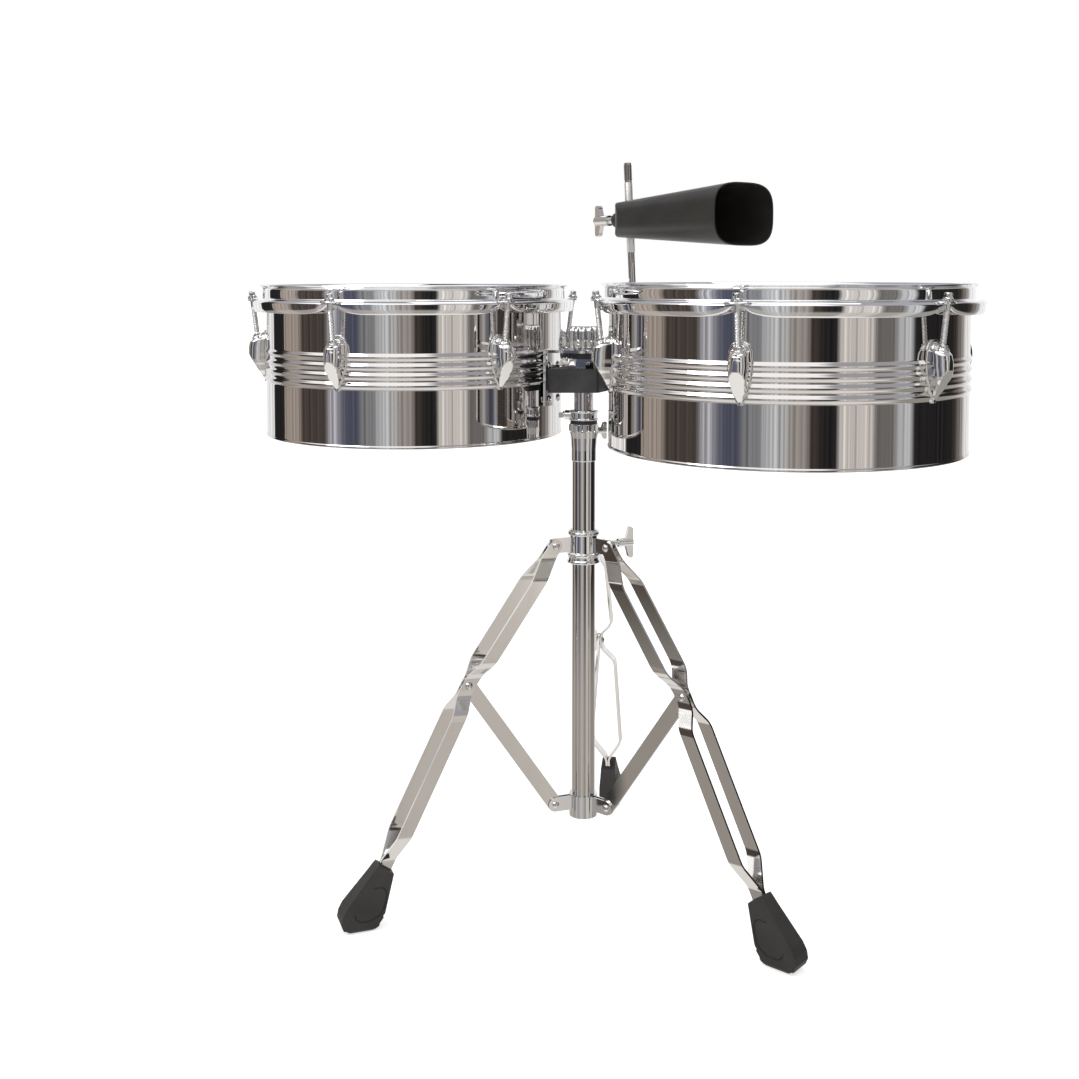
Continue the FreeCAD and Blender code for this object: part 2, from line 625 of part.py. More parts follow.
def memory_lock():
    """Ring that marks the inner tube's height, with its key screw."""
    inner = "inner_tube_size / 2 + 0.02"
    outer = "lock_size / 2"
    rise = "lock_top - lock_bottom"
    band = turned("lock_band", [(inner, "0"), (f"{outer} - 0.8", "0"), (outer, "0.8"),
                                (outer, f"{rise} - 0.8"), (f"{outer} - 0.8", rise), (inner, rise)],
                  "lock_bottom")
    middle = (size("lock_top") + size("lock_bottom")) / 2
    place = polar(LOCK_ANGLE, 0, middle)
    boss = cylinder(5.2, size("lock_size") / 2 - 2, 20.5, OUTWARDS)
    drill = cylinder(2.1, size("inner_tube_size") / 2 - 1, 25, OUTWARDS)
    bossed = fused("lock_bossed", [band, shaped("lock_boss", boss, place)])
    keep(cut("memory_lock", bossed, shaped("lock_drill", drill, place)), "memory_lock")
    head_part = Part.makeBox(4.4, 5.6, 5.6, Vector(22.4, -2.8, -2.8))
    flange = cylinder(4.2, 20.8, 22.4, OUTWARDS)
    screw = cylinder(2.0, size("inner_tube_size") / 2 + 0.3, 23, OUTWARDS).fuse(flange).fuse(head_part)
    keep(shaped("memory_lock_screw", screw.removeSplitter(), place), "memory_lock_screw")


# --- collars, legs and braces ------------------------------------------------------------

LEG_ANGLES = {"rear": 0.0, "left": 120.0, "right": 240.0}


def leg_angle(name):
    return size("rear_leg_angle") + LEG_ANGLES[name]


def ear_plate(root, pivot_height, half, low, high):
    """An upright ear in the radial plane, rounded about the leg pivot and drilled for it."""
    reach = size("hinge_reach")
    plate = bar([(root, pivot_height - half), (reach, pivot_height - half),
                 ((reach + half, pivot_height), (reach, pivot_height + half)),
                 (root, pivot_height + half)], UPRIGHT_PLANE, SIDEWAYS, low, high)
    return plate.cut(cylinder(size("pin_size") / 2, low - 1, high + 1, SIDEWAYS,
                              Vector(reach, 0, pivot_height)))


def headed_pin(pivot_height, grip, head_radius):
    """A pivot pin with a domed head on both ends."""
    base = Vector(size("hinge_reach"), 0, pivot_height)
    pin = cylinder(size("pin_size") / 2, -grip - 0.2, grip + 0.2, SIDEWAYS, base)
    for sign in (-1, 1):
        axis = SIDEWAYS * sign
        ball = Part.makeSphere(head_radius + 0.8, base + axis * (grip + 2.1 - head_radius - 0.8))
        pin = pin.fuse(ball.common(cylinder(head_radius, grip, grip + 3, axis, base)))
    return pin.removeSplitter()


def upper_collar():
    """Sliding collar with three leg ears, its plastic bush, leg pins and wing bolt."""
    bore = "base_tube_size / 2 + 1.3"
    rise = "30.7"
    band = turned("upper_band", [
        (bore, "0"), ("15.7", "0"), ("16.5", "0.8"), ("16.5", "10.4"), ("15.6", "11.3"),
        ("15.2", f"{rise} - 1"), ("14.8", rise), (bore, rise)], "leg_hinge_height - 19.7")
    pivot = size("leg_hinge_height")
    angles = [leg_angle(name) for name in LEG_ANGLES]
    ear = ear_plate(14.4, pivot, 8.0, -2.0, 2.0)
    boss = cylinder(6.0, 14.4, 24.0, OUTWARDS, Vector(0, 0, BOLT_RISE))
    ears = [shaped("upper_ear", placed(ear, polar(angle))) for angle in angles]
    boss_place = polar(SCREW_ANGLE, 0, pivot)
    eared = fused("upper_eared", [band] + ears + [shaped("upper_boss", boss, boss_place)])
    drill = cylinder(3.1, 12, 26, OUTWARDS, Vector(0, 0, BOLT_RISE))
    keep(cut("upper_collar", eared, shaped("upper_drill", drill, boss_place)), "upper_collar")
    slide = "base_tube_size / 2 + fit_gap"
    lift = "30.6"
    bush = turned("collar_bush_blank", [
        (slide, "0"), (bore, "0"), (bore, lift), ("14.9", lift), ("14.9", f"{lift} + 4.8"),
        ("14.4", f"{lift} + 5.3"), (slide, f"{lift} + 5.3")], "leg_hinge_height - 19.6")
    keep(cut("collar_bush", bush, shaped("bush_drill", drill, boss_place)), "collar_bush")
    grip = size("hinge_offset") + size("strip_gauge") / 2 + size("running_gap")
    pin = headed_pin(pivot, grip, 4.2)
    pins = Part.makeCompound([placed(pin, polar(angle)) for angle in angles])
    keep(shaped("collar_pins", pins), "collar_pins")
    bolt = wing_screw(3.0, 13.0, 40.0, 4.6, 57.5, 9.5, 17.0)
    place = polar(SCREW_ANGLE, 0, pivot + BOLT_RISE)
    keep(shaped("collar_wing_bolt", bolt, place), "collar_wing_bolt")


def lower_collar():
    """Ring on the foot of the base tube with a clevis for each brace, and their pins."""
    band = ring("lower_band", "base_tube_size / 2", "base_tube_size / 2 + 2.6", "base_tube_bottom",
                "brace_hinge_height + 8.2")
    pivot = size("brace_hinge_height")
    inner = size("strip_gauge") / 2 + size("running_gap")
    angles = [leg_angle(name) for name in LEG_ANGLES]
    cheeks = [shaped("lower_cheek", placed(ear_plate(13.6, pivot, 7.6, low, low + 1.6), polar(angle)))
              for angle in angles for low in (inner, -inner - 1.6)]
    keep(fused("lower_collar", [band] + cheeks), "lower_collar")
    pin = headed_pin(pivot, inner + 1.6, 3.8)
    pins = Part.makeCompound([placed(pin, polar(angle)) for angle in angles])
    keep(shaped("lower_collar_pins", pins), "lower_collar_pins")


def leg_points():
    """The hinge, knee and boot points of a leg in its own radial plane."""
    hinge = Vector(size("hinge_reach"), 0, size("leg_hinge_height"))
    knee = Vector(size("knee_reach"), 0, size("knee_height"))
    boot = Vector(size("boot_reach"), 0, size("boot_height"))
    return hinge, knee, boot


def strap(points, width):
    """A flat strap's outline along points of the radial plane, with rounded ends, made thick."""
    face = Part.Face(Part.makePolygon(points).makeOffset2D(width / 2))
    face.translate(SIDEWAYS * -30)
    return face.extrude(SIDEWAYS * 60)


def strip(sign):
    """One bent strip of a leg: pinched at the hinge, the knee and the boot, spread between."""
    hinge, knee, boot = leg_points()
    upper = (knee - hinge).normalize()
    lower = (boot - knee).normalize()
    spread = size("strip_spread")
    stations = [(size("hinge_offset"), hinge - upper * 8), (size("hinge_offset"), hinge + upper * 15),
                (spread, hinge + upper * 42), (spread, knee - upper * 30),
                (size("knee_offset"), knee - upper * 11.5), (size("knee_offset"), knee + lower * 11.5),
                (spread, knee + lower * 30), (spread, boot - lower * 37),
                (size("boot_offset"), boot - lower * 9), (size("boot_offset"), boot + lower * 26)]
    path = rounded_path([Vector(0, sign * offset, spot.z) for offset, spot in stations], 15.0)
    ribbon = Part.Face(path.makeOffset2D(size("strip_gauge") / 2)).extrude(OUTWARDS * 320)
    outline = strap([hinge, knee, boot + lower * 24], size("strip_width"))
    bent = ribbon.common(outline)
    pivot = cylinder(size("pin_size") / 2 + size("fit_gap"), -30, 30, SIDEWAYS, hinge)
    rivet = cylinder(size("pin_size") / 2, -30, 30, SIDEWAYS, knee)
    return bent.cut(pivot).cut(rivet)


def boot_shape():
    """Rubber boot: wide at the floor, narrow where the strips enter it."""
    knee, boot = leg_points()[1:]
    lower = (boot - knee).normalize()
    across = Vector(-lower.z, 0, lower.x)
    inner = boot - across * 11
    outer = boot + across * 11
    foot = size("foot_reach")
    side_view = bar([(inner.x + 2, inner.z - 1), (foot - 24.5, 17), (foot - 22.5, 14.6), (foot - 23, 12.6),
                     (foot - 19, 7.6), (foot - 18.5, 5.2), ((foot - 13, 1.4), (foot - 6, 0)),
                     (foot + 6, 0), ((foot + 11.5, 1), (foot + 16, 4)), (foot + 18.5, 4.4),
                     (foot + 21, 10.5), (foot + 19.6, 18), (foot + 15.5, 26),
                     (outer.x + 1, outer.z - 3), (outer.x - 2, outer.z)],
                    UPRIGHT_PLANE, SIDEWAYS, -20, 20)
    front_view = bar([(-8, 72), (-8.6, 56), (-12, 20), (-12, 5), ((-11, 1.6), (-8.5, 0)), (8.5, 0),
                      ((11, 1.6), (12, 5)), (12, 20), (8.6, 56), (8, 72)],
                     (SIDEWAYS, UP), OUTWARDS, 150, 320)
    return side_view.common(front_view)


def brace_shape():
    """Flat strap from the lower collar to the knee."""
    knee = leg_points()[1]
    foot = Vector(size("hinge_reach"), 0, size("brace_hinge_height"))
    along = (knee - foot).normalize()
    side = Vector(-along.z, 0, along.x)
    half = size("brace_width") / 2
    ends = [cylinder(half, -30, 30, SIDEWAYS, spot) for spot in (foot, knee)]
    corners = [foot + side * half, knee + side * half, knee - side * half, foot - side * half]
    body = bar([(spot.x, spot.z) for spot in corners], UPRIGHT_PLANE, SIDEWAYS, -30, 30)
    gauge = size("strip_gauge")
    slab = Part.makeBox(300, gauge, 500, Vector(-20, -gauge / 2, 0))
    flat = body.fuse(ends).common(slab).removeSplitter()
    drill = cylinder(size("pin_size") / 2 + size("fit_gap"), -30, 30, SIDEWAYS, foot)
    return flat.cut(drill).cut(cylinder(size("pin_size") / 2 + 0.6, -30, 30, SIDEWAYS, knee))


def knee_rivets():
    """The two headed stubs of a knee rivet, one in each strip."""
    knee = leg_points()[1]
    inner = size("knee_offset") - size("strip_gauge") / 2
    outer = size("knee_offset") + size("strip_gauge") / 2
    radius = size("rivet_head") / 2
    stubs = []
    for sign in (-1, 1):
        axis = SIDEWAYS * sign
        stub = cylinder(size("pin_size") / 2, inner, outer + 0.2, axis, knee)
        ball = Part.makeSphere(radius + 0.8, knee + axis * (outer + 2.2 - radius - 0.8))
        stubs.append(stub.fuse(ball.common(cylinder(radius, outer, outer + 3, axis, knee))))
    return Part.makeCompound(stubs)


def legs():
    """Strips, boot, knee rivets and brace of each leg."""
    strips = Part.makeCompound([strip(-1), strip(1)])
    boot = boot_shape().cut(strips)
    pieces = {"leg_strips": strips, "boot": boot, "knee_rivets": knee_rivets(), "brace": brace_shape()}
    for name in LEG_ANGLES:
        for part_name, shape in pieces.items():
            label = f"{name}_{part_name}"
            keep(shaped(label, shape.copy(), polar(leg_angle(name))), label)


# --- cowbell -----------------------------------------------------------------------------

ROD_CLAMP_LENGTH = 22.0
CLAMP_HALF_WIDTH = 13.0
CLAMP_HALF_HEIGHT = 12.0


def arm_place():
    """The rod's arm: its x runs along the arm, away from the block."""
    start = Vector(size("arm_start_x"), size("arm_start_y"), size("arm_height"))
    return Placement(start, Rotation(UP, size("arm_angle")))


def rod_corner_and_top():
    """The bend and the top of the rod in the arm's frame."""
    lean = math.radians(size("upright_lean"))
    rise = size("rod_top") - size("arm_height")
    corner = Vector(size("arm_length"), 0, 0)
    return corner, corner + Vector(0, rise * math.tan(lean), rise)


def rod_clamp():
    """Block on the casting's rear face that grips the rod's arm, and its wing screw."""
    blank = bar([(0, -CLAMP_HALF_WIDTH), (ROD_CLAMP_LENGTH - 3, -CLAMP_HALF_WIDTH),
                 (ROD_CLAMP_LENGTH, -CLAMP_HALF_WIDTH + 3), (ROD_CLAMP_LENGTH, CLAMP_HALF_WIDTH - 3),
                 (ROD_CLAMP_LENGTH - 3, CLAMP_HALF_WIDTH), (0, CLAMP_HALF_WIDTH)],
                FLAT_PLANE, UP, -CLAMP_HALF_HEIGHT, CLAMP_HALF_HEIGHT)
    bore = cylinder(size("cowbell_rod_size") / 2 + size("fit_gap"), -1, ROD_CLAMP_LENGTH + 1, OUTWARDS)
    middle = Vector(ROD_CLAMP_LENGTH / 2, 0, 0)
    tapping = cylinder(3.1, 0, CLAMP_HALF_HEIGHT + 1, UP, middle)
    keep(shaped("rod_clamp", blank.cut(bore).cut(tapping), arm_place()), "rod_clamp")
    screw = wing_screw(3.0, 4.3, CLAMP_HALF_HEIGHT + 0.4, 4.2, 27.0, 7.5, 11.0)
    upwards = Placement(middle, Rotation(OUTWARDS, UP))
    keep(shaped("rod_clamp_wing_screw", screw, arm_place().multiply(upwards)), "rod_clamp_wing_screw")


def cowbell_rod():
    """L-shaped rod with a thicker bright length for the bell and a knurled tip."""
    radius = size("cowbell_rod_size") / 2
    corner, top = rod_corner_and_top()
    start = Vector(0.4, 0, 0)
    path = rounded_path([start, corner, top], size("rod_bend"))
    section = Part.Wire(Part.makeCircle(radius, start, OUTWARDS))
    swept = path.makePipeShell([section], True, False)
    upright = (top - corner).normalize()
    lean = math.cos(math.radians(size("upright_lean")))
    sleeve_low, sleeve_high = [(height - size("arm_height")) / lean for height in (699.0, 776.0)]
    sleeve = cylinder(radius + 0.35, sleeve_low, sleeve_high, upright, corner)
    length = (top - corner).Length
    knurl = cylinder(radius + 0.25, sleeve_high + 1.5, length - 1.5, upright, corner)
    keep(shaped("cowbell_rod", swept.fuse([sleeve, knurl]).removeSplitter(), arm_place()), "cowbell_rod")


def bell_place():
    """The bell's frame: origin on the rod, x towards the mouth."""
    corner, top = rod_corner_and_top()
    share = (size("bell_height") - size("arm_height")) / (size("rod_top") - size("arm_height"))
    spot = arm_place().multVec(corner + (top - corner) * share)
    return Placement(spot, Rotation(UP, size("bell_angle")))


def pillow(width, height, station):
    """A closed curve across the bell, squarer than an ellipse."""
    points = []
    for step in range(32):
        turn = math.radians(360 / 32 * step)
        across, upwards = [math.copysign(abs(share) ** 0.62, share)
                           for share in (math.cos(turn), math.sin(turn))]
        points.append(Vector(station, across * width / 2, upwards * height / 2))
    curve = Part.BSplineCurve()
    curve.interpolate(points, PeriodicFlag=True)
    return Part.Wire(curve.toShape())


def bell_solid(crown, mouth, inwards):
    """The bell's tapered body with its closed end rounded in plan, drawn in by a wall."""
    sections = [pillow(size(name + "_width") - 2 * inwards, size(name + "_height") - 2 * inwards, station)
                for name, station in (("crown", crown), ("mouth", mouth))]
    end = crown + size("crown_rounding")
    half = size("crown_width") / 2 + 1.5 - inwards
    flat = 7.0
    snug = 0.3 * size("crown_rounding")
    shoulder = half - 0.3 * (half - flat)
    plan = bar([(crown, -flat), (crown, flat), ((crown + snug, shoulder), (end, half)), (end, 60),
                (mouth, 60), (mouth, -60), (end, -60), (end, -half),
                ((crown + snug, -shoulder), (crown, -flat))], FLAT_PLANE, UP, -50, 50)
    return Part.makeLoft(sections, True, True).common(plan)


def cowbell():
    """Tapered bell, the bush at its closed end, the eyebolt round the rod and the wing nut."""
    crown = -size("bell_inset")
    mouth = crown + size("bell_length")
    wall = size("bell_wall")
    hollow = bell_solid(crown + wall, mouth + 0.01, wall)
    body = bell_solid(crown, mouth, 0.0).cut(hollow)
    shaft_radius = 4.0
    rod_radius = size("cowbell_rod_size") / 2 + 0.35
    axis_turn = bell_place().Rotation.inverted().multiply(arm_place().Rotation)
    corner, top = rod_corner_and_top()
    upright = axis_turn.multVec((top - corner).normalize())
    body = body.cut(cylinder(rod_radius + 2.0, -60, 60, upright))
    body = body.cut(cylinder(shaft_radius + 0.3, crown - 2, crown + 4, OUTWARDS))
    keep(shaped("cowbell", body, bell_place()), "cowbell")
    bush = cylinder(8.25, crown - 13, crown, OUTWARDS)
    bush = bush.cut(cylinder(shaft_radius + 0.05, crown - 14, crown + 1, OUTWARDS))
    slot = Part.makeBox(9, 2.2, 20, Vector(crown - 14, -1.1, -10))
    keep(shaped("cowbell_bush", bush.cut(slot), bell_place()), "cowbell_bush")
    eye = cylinder(7.3, -5.5, 5.5, upright).fuse(cylinder(shaft_radius, crown - 38, -6, OUTWARDS))
    eye = eye.cut(cylinder(rod_radius + 0.1, -12, 12, upright)).removeSplitter()
    keep(shaped("cowbell_eyebolt", eye, bell_place()), "cowbell_eyebolt")
    backwards = Placement(Vector(crown, 0, 0), Rotation(UP, 180))
    hub = cylinder(6.0, 25.0, 47.6, OUTWARDS)
    nut = hub.fuse(upright_wings(11.0, 48.0, 17.5, 6.0))
    nut = nut.cut(cylinder(shaft_radius + 0.05, 24, 39, OUTWARDS)).removeSplitter()
    keep(shaped("cowbell_wing_nut", nut, bell_place().multiply(backwards)), "cowbell_wing_nut")


mount_block()
centre_stud()
bracket_washers()
clamp_knob()
posts()
height_clamp()
memory_lock()
upper_collar()
lower_collar()
legs()
rod_clamp()
cowbell_rod()
cowbell()


# --- checks and files --------------------------------------------------------------------

doc.recompute()
faults = [item.Label for item in doc.Objects if {"Invalid", "Error"} & set(item.State)]
faults += [item.Label for item in nodes if item.Shape.isNull() or not item.Shape.isValid()]
if faults:
    raise RuntimeError(f"faulty objects: {faults}")
os.makedirs("parts", exist_ok=True)
for node in nodes:
    node.Shape.exportStep(f"parts/{node.Label}.step")
print(len(nodes), "sub-parts written")
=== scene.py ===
import bmesh
import bpy
import json
import math
from mathutils import Matrix, Vector


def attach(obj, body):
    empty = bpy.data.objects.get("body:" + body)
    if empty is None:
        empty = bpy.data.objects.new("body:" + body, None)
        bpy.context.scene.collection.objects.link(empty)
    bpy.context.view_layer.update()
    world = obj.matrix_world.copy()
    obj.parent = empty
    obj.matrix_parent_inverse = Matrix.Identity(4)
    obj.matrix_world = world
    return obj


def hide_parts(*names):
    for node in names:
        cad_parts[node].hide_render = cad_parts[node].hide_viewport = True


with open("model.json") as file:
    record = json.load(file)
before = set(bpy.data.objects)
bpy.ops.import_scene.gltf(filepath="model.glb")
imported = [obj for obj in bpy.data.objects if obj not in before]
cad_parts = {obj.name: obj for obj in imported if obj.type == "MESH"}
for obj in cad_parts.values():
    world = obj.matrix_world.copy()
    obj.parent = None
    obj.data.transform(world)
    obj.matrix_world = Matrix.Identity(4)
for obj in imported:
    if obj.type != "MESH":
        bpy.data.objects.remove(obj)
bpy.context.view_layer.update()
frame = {"nodes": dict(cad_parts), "record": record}
NODES = frame["nodes"]
MM = 0.001


# --- camera, floor and light ---------------------------------------------------------------

CAMERA_SPOT = Vector((0.5105, -1.3244, 0.673))
CAMERA_AZIMUTH = math.radians(23.0)
CAMERA_PITCH = math.radians(-3.0)
CAMERA_LENS = 44.25
CAMERA_SHIFT = -0.1812


def add_camera():
    """The camera at the eye level of the drums' hoops, a little to the right of the front."""
    data = bpy.data.cameras.new("camera")
    data.lens = CAMERA_LENS
    data.sensor_width = 36.0
    data.shift_y = CAMERA_SHIFT
    data.clip_end = 50.0
    camera = bpy.data.objects.new("camera", data)
    bpy.context.collection.objects.link(camera)
    camera.location = CAMERA_SPOT
    level = math.cos(CAMERA_PITCH)
    aim = Vector((-math.sin(CAMERA_AZIMUTH) * level, math.cos(CAMERA_AZIMUTH) * level,
                  math.sin(CAMERA_PITCH)))
    camera.rotation_euler = aim.to_track_quat("-Z", "Y").to_euler()
    bpy.context.scene.camera = camera


def add_floor():
    """A plain pale floor under the boots."""
    bpy.ops.mesh.primitive_plane_add(size=60.0, location=(0, 0, -0.0003))
    floor = bpy.context.object
    floor.name = "floor"
    material = bpy.data.materials.new("floor_paper")
    material.use_nodes = True
    shader = material.node_tree.nodes["Principled BSDF"]
    shader.inputs["Base Color"].default_value = (0.72, 0.72, 0.72, 1)
    shader.inputs["Roughness"].default_value = 0.95
    shader.inputs["Emission Color"].default_value = (1.0, 1.0, 1.0, 1)
    shader.inputs["Emission Strength"].default_value = 0.55
    floor.data.materials.append(material)
    floor.visible_glossy = False


# The studio round the object: (direction in degrees from +X, colour), blended between entries.
TAN, DARK_BROWN, BLACK = (0.42, 0.36, 0.315), (0.085, 0.068, 0.060), (0.022, 0.021, 0.021)
PALE_BLUE, VIOLET, NAVY = (0.52, 0.52, 0.56), (0.22, 0.225, 0.28), (0.095, 0.10, 0.145)
STEEL, LIGHT, SAND = (0.26, 0.265, 0.28), (0.60, 0.61, 0.62), (0.40, 0.37, 0.345)
CREAM, SLATE, PAPER = (0.74, 0.70, 0.66), (0.20, 0.19, 0.18), (1.0, 1.0, 1.0)
STUDIO_WALLS = [
    (-180, TAN), (-160, TAN), (-157, DARK_BROWN), (-133, DARK_BROWN), (-129, PALE_BLUE),
    (-123, PALE_BLUE), (-120, VIOLET), (-114, NAVY), (-106, NAVY), (-102, STEEL), (-93, STEEL),
    (-89, LIGHT), (-79, LIGHT), (-74, SAND), (-65, SAND), (-62, DARK_BROWN), (-54, BLACK),
    (-46, BLACK), (-44, CREAM), (-23, CREAM), (-21, SLATE), (-8, SLATE), (-4, LIGHT), (5, LIGHT),
    (7.5, BLACK), (46, BLACK), (52, DARK_BROWN), (63, SAND), (69, PAPER), (160, PAPER), (162, BLACK),
]

# Zones above and below the walls: (height where each starts, where it is full, how full, colour);
# the one without a colour is the ceiling, bright only towards the soft box.
SOFT_BOX = math.radians(-104)  # the direction of the middle of the bright part of the ceiling
SOFT_BOX_FALLOFF = (0.45, 0.62)  # the cosine away from it where the brightness starts, and is full
CEILING_DIM, CEILING_BRIGHT = (0.42, 0.42, 0.45), (1.2, 1.2, 1.2)
STUDIO_HEIGHTS = ((0.34, 0.46, 1.0, None), (0.88, 0.96, 1.0, (0.10, 0.085, 0.075)),
                  (-0.21, -0.32, 0.62, (0.55, 0.52, 0.48)), (-0.68, -0.78, 1.0, (0.90, 0.875, 0.85)))

# Upright streaks over the walls, as noise along the direction.
STREAK_SCALE, STREAK_DETAIL, STREAK_GAIN, STREAK_BASE = 13.0, 4.0, 1.7, 0.08


def link_math(tree, operation, first, second=None):
    """A math node fed by sockets or plain numbers; returns its output."""
    node = tree.nodes.new("ShaderNodeMath")
    node.operation = operation
    for socket, source in zip(node.inputs, (first, second)):
        if source is None:
            continue
        if isinstance(source, (int, float)):
            socket.default_value = source
        else:
            tree.links.new(source, socket)
    return node.outputs[0]


def mix_colours(tree, factor, first, second, mode="MIX"):
    """A colour mix fed by sockets or plain colours; returns its output."""
    node = tree.nodes.new("ShaderNodeMix")
    node.data_type = "RGBA"
    node.blend_type = mode
    for socket, source in ((node.inputs[0], factor), (node.inputs[6], first), (node.inputs[7], second)):
        if isinstance(source, (int, float, tuple)):
            socket.default_value = source if isinstance(source, (int, float)) else (*source, 1.0)
        else:
            tree.links.new(source, socket)
    return node.outputs[2]


def ranged(tree, value, low, high, start=0.0, end=1.0):
    """Spread a value between start and end over low to high; returns the socket."""
    node = tree.nodes.new("ShaderNodeMapRange")
    node.inputs["From Min"].default_value = start
    node.inputs["From Max"].default_value = end
    node.inputs["To Min"].default_value = low
    node.inputs["To Max"].default_value = high
    tree.links.new(value, node.inputs["Value"])
    return node.outputs["Result"]


def add_studio():
    """White sky for the eye and for diffuse light; a room of tall flats for mirror-like metal."""
    world = bpy.data.worlds.new("studio")
    bpy.context.scene.world = world
    world.use_nodes = True
    tree = world.node_tree
    tree.nodes.clear()
    way = tree.nodes.new("ShaderNodeTexCoord").outputs["Generated"]
    split = tree.nodes.new("ShaderNodeSeparateXYZ")
    tree.links.new(way, split.inputs[0])
    turn = link_math(tree, "ARCTAN2", split.outputs[1], split.outputs[0])
    share = link_math(tree, "ADD", link_math(tree, "DIVIDE", turn, 2 * math.pi), 0.5)
    ramp = tree.nodes.new("ShaderNodeValToRGB")
    stops = ramp.color_ramp.elements
    stops.remove(stops[0])
    for index, (direction, colour) in enumerate(STUDIO_WALLS):
        place = (direction + 180) / 360
        stop = stops[0] if index == 0 else stops.new(place)
        stop.position = place
        stop.color = (*colour, 1)
    tree.links.new(share, ramp.inputs[0])
    grain = tree.nodes.new("ShaderNodeTexNoise")
    grain.noise_dimensions = "1D"
    grain.inputs["Scale"].default_value = STREAK_SCALE
    grain.inputs["Detail"].default_value = STREAK_DETAIL
    tree.links.new(link_math(tree, "MULTIPLY", turn, 2.0), grain.inputs["W"])
    gained = link_math(tree, "MULTIPLY", grain.outputs[0], STREAK_GAIN)
    streak = link_math(tree, "ADD", gained, STREAK_BASE)
    walls = mix_colours(tree, 1.0, ramp.outputs[0], streak, "MULTIPLY")
    towards_box = link_math(tree, "COSINE", link_math(tree, "SUBTRACT", turn, SOFT_BOX))
    ceiling = mix_colours(tree, ranged(tree, towards_box, 0.0, 1.0, *SOFT_BOX_FALLOFF),
                          CEILING_DIM, CEILING_BRIGHT)
    room = walls
    for start, end, most, colour in STUDIO_HEIGHTS:
        height = tree.nodes.new("ShaderNodeMapRange")
        height.interpolation_type = "SMOOTHSTEP"
        height.inputs["From Min"].default_value = start
        height.inputs["From Max"].default_value = end
        height.inputs["To Max"].default_value = most
        tree.links.new(split.outputs[2], height.inputs["Value"])
        room = mix_colours(tree, height.outputs["Result"], room, colour or ceiling)
    path = tree.nodes.new("ShaderNodeLightPath")
    colour = mix_colours(tree, path.outputs["Is Glossy Ray"], (1.0, 1.0, 1.0), room)
    shade = tree.nodes.new("ShaderNodeBackground")
    tree.links.new(colour, shade.inputs["Color"])
    output = tree.nodes.new("ShaderNodeOutputWorld")
    tree.links.new(shade.outputs[0], output.inputs[0])


def add_area_light(name, spot, target, width, height, power):
    """A soft box aimed at a target."""
    data = bpy.data.lights.new(name, "AREA")
    data.shape = "RECTANGLE"
    data.size = width
    data.size_y = height
    data.energy = power
    light = bpy.data.objects.new(name, data)
    bpy.context.collection.objects.link(light)
    light.location = spot
    light.rotation_euler = (Vector(target) - Vector(spot)).to_track_quat("-Z", "Y").to_euler()


add_camera()
add_floor()
add_studio()
add_area_light("key_light", (-1.6, -2.2, 2.6), (0, 0, 0.5), width=1.6, height=1.0, power=26)
add_area_light("top_light", (0.3, 0.2, 2.6), (0, 0, 0.4), width=1.8, height=1.2, power=14)
bpy.context.scene.view_settings.view_transform = "Standard"


# --- materials -----------------------------------------------------------------------------

def new_material(name):
    """A node material; returns it with its tree and principled shader."""
    material = bpy.data.materials.new(name)
    material.use_nodes = True
    tree = material.node_tree
    return material, tree, tree.nodes["Principled BSDF"]


def object_noise(tree, scale, detail=3.0, stretch=(1, 1, 1)):
    """Noise in the object's own coordinates; returns its value socket."""
    coordinates = tree.nodes.new("ShaderNodeTexCoord")
    mapping = tree.nodes.new("ShaderNodeMapping")
    mapping.inputs["Scale"].default_value = stretch
    noise = tree.nodes.new("ShaderNodeTexNoise")
    noise.inputs["Scale"].default_value = scale
    noise.inputs["Detail"].default_value = detail
    tree.links.new(coordinates.outputs["Object"], mapping.inputs["Vector"])
    tree.links.new(mapping.outputs["Vector"], noise.inputs["Vector"])
    return noise.outputs[0]


def bumped(tree, shader, value, strength, distance):
    """Feed a height value to the shader's normal."""
    bump = tree.nodes.new("ShaderNodeBump")
    bump.inputs["Strength"].default_value = strength
    bump.inputs["Distance"].default_value = distance
    tree.links.new(value, bump.inputs["Height"])
    tree.links.new(bump.outputs[0], shader.inputs["Normal"])


def chrome(name, colour=(0.86, 0.86, 0.87), smooth=0.03, smudged=0.10, waviness=0.0):
    """Bright plate with faint wipe marks, and for castings a slight ripple."""
    material, tree, shader = new_material(name)
    shader.inputs["Metallic"].default_value = 1.0
    shader.inputs["Base Color"].default_value = (*colour, 1)
    marks = object_noise(tree, 38.0, 4.0, (1.0, 1.0, 0.35))
    tree.links.new(ranged(tree, marks, smooth, smudged, 0.42, 0.78), shader.inputs["Roughness"])
    if waviness:
        bumped(tree, shader, object_noise(tree, 60.0, 1.5), waviness, 0.0006)
    return material


def coated(name, colour, lighter, roughness, grain_scale, grain_depth, strength=0.35):
    """Black finish with a fine grain and slight variation in tone."""
    material, tree, shader = new_material(name)
    tone = object_noise(tree, 22.0, 4.0)
    tree.links.new(mix_colours(tree, ranged(tree, tone, 0.0, 1.0, 0.35, 0.7), colour, lighter),
                   shader.inputs["Base Color"])
    grain = object_noise(tree, grain_scale, 3.0)
    tree.links.new(ranged(tree, grain, roughness - 0.06, roughness + 0.08, 0.3, 0.7),
                   shader.inputs["Roughness"])
    bumped(tree, shader, grain, strength, grain_depth)
    return material


